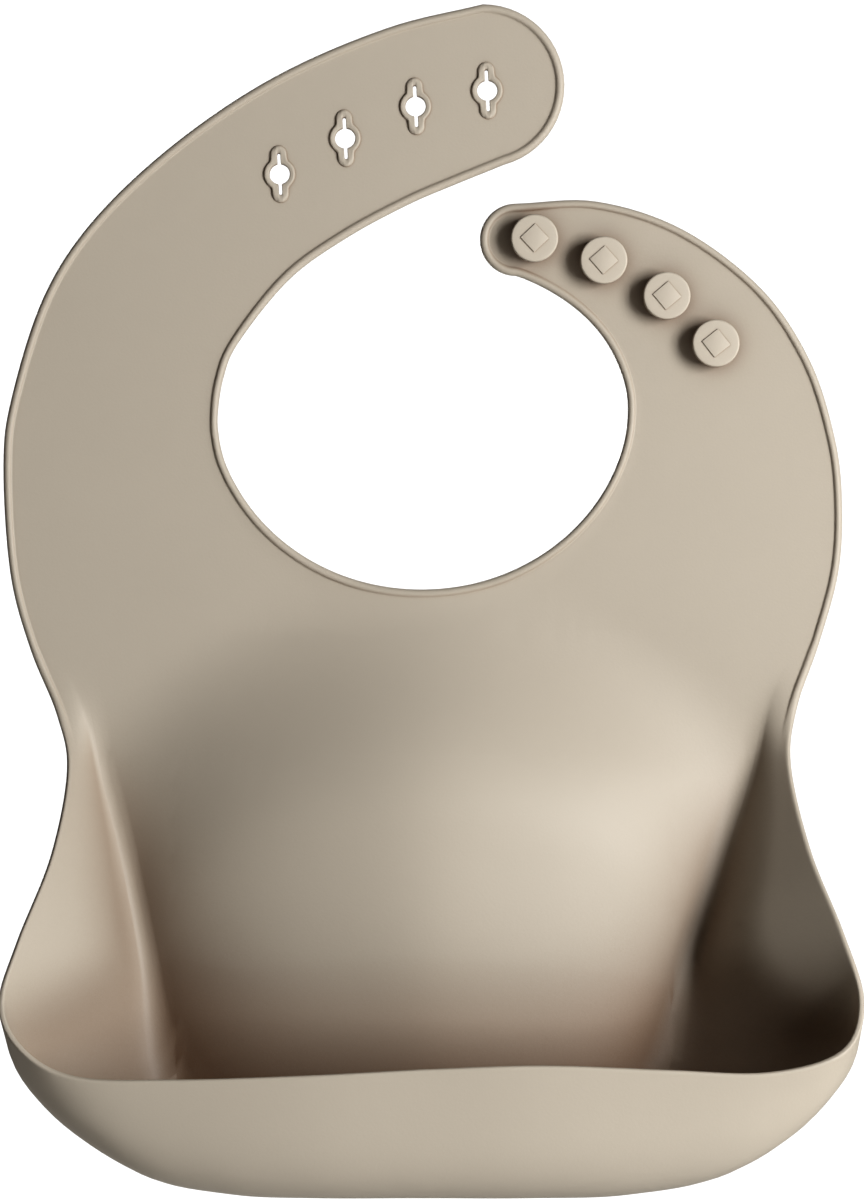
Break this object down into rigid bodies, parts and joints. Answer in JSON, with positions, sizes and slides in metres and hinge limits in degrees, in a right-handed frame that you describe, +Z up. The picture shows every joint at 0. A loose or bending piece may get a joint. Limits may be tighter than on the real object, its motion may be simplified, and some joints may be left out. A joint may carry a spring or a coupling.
{
  "type": "silicone bib",
  "caption": "Moulded silicone baby bib: flat yoke with two neck straps, press studs and slotted holes, and an open catch pocket below.",
  "frame": {"origin": "centre of the neck opening, in the mid-plane of the flat yoke", "axes": "+Z up along the bib's length, +X to the wearer's left as seen by someone facing the bib, -Y out of the front, the side with the studs and pocket"},
  "size_m": [0.2186, 0.0637, 0.3044],
  "materials": {
    "silicone_sheet": "matte",
    "silicone_stud": "matte"
  },
  "bodies": {
    "yoke": {"chest_panel": "silicone_sheet"},
    "pocket_half": {"belly_panel": "silicone_sheet", "pocket_floor": "silicone_sheet", "pocket_left_wall": "silicone_sheet", "pocket_right_wall": "silicone_sheet"},
    "pocket_front": {"pocket_front_wall": "silicone_sheet"},
    "button_strap_root": {"button_strap_root": "silicone_sheet", "button_3": "silicone_stud", "button_4": "silicone_stud"},
    "button_strap_mid": {"button_strap_mid": "silicone_sheet", "button_2": "silicone_stud"},
    "button_strap_tip": {"button_strap_tip": "silicone_sheet", "button_1": "silicone_stud"},
    "keyhole_strap_root": {"keyhole_strap_root": "silicone_sheet"},
    "keyhole_strap_mid": {"keyhole_strap_mid": "silicone_sheet", "keyhole_rim_1": "silicone_stud", "keyhole_rim_2": "silicone_stud"},
    "keyhole_strap_tip": {"keyhole_strap_tip": "silicone_sheet", "keyhole_rim_3": "silicone_stud", "keyhole_rim_4": "silicone_stud"}
  },
  "joints": [
    {"name": "waist_fold", "type": "hinge", "parent": "yoke", "child": "pocket_half", "pos_m": [0, 0, -0.075], "axis": [1, 0, 0], "range_deg": [-30, 20], "stiffness_Nm_per_rad": 0.3},
    {"name": "pocket_front_flex", "type": "hinge", "parent": "pocket_half", "child": "pocket_front", "pos_m": [0, -0.046, -0.2008], "axis": [1, 0, 0], "range_deg": [-12, 25], "stiffness_Nm_per_rad": 0.1},
    {"name": "button_strap_curl", "type": "hinge", "parent": "yoke", "child": "button_strap_root", "pos_m": [0.076, 0, 0], "axis": [-1, 0, 0], "range_deg": [-20, 40], "stiffness_Nm_per_rad": 0.2},
    {"name": "button_strap_mid_curl", "type": "hinge", "parent": "button_strap_root", "child": "button_strap_mid", "pos_m": [0.06582, 0, 0.038], "axis": [-0.866, 0, -0.5], "range_deg": [-20, 40]},
    {"name": "button_strap_tip_curl", "type": "hinge", "parent": "button_strap_mid", "child": "button_strap_tip", "pos_m": [0.05183, 0, 0.05558], "axis": [-0.682, 0, -0.7314], "range_deg": [-20, 40]},
    {"name": "keyhole_strap_curl", "type": "hinge", "parent": "yoke", "child": "keyhole_strap_root", "pos_m": [-0.076, 0, 0], "axis": [-1, 0, 0], "range_deg": [-20, 40], "stiffness_Nm_per_rad": 0.3},
    {"name": "keyhole_strap_mid_curl", "type": "hinge", "parent": "keyhole_strap_root", "child": "keyhole_strap_mid", "pos_m": [-0.04986, 0, 0.05736], "axis": [-0.6561, 0, 0.7547], "range_deg": [-20, 40]},
    {"name": "keyhole_strap_tip_curl", "type": "hinge", "parent": "keyhole_strap_mid", "child": "keyhole_strap_tip", "pos_m": [-0.01189, 0, 0.07506], "axis": [-0.1564, 0, 0.9877], "range_deg": [-20, 40]}
  ],
  "couplings": [
    {"joint": "button_strap_mid_curl", "follows": "button_strap_curl", "ratio": 1},
    {"joint": "button_strap_tip_curl", "follows": "button_strap_curl", "ratio": 1},
    {"joint": "keyhole_strap_mid_curl", "follows": "keyhole_strap_curl", "ratio": 1},
    {"joint": "keyhole_strap_tip_curl", "follows": "keyhole_strap_curl", "ratio": 1}
  ]
}
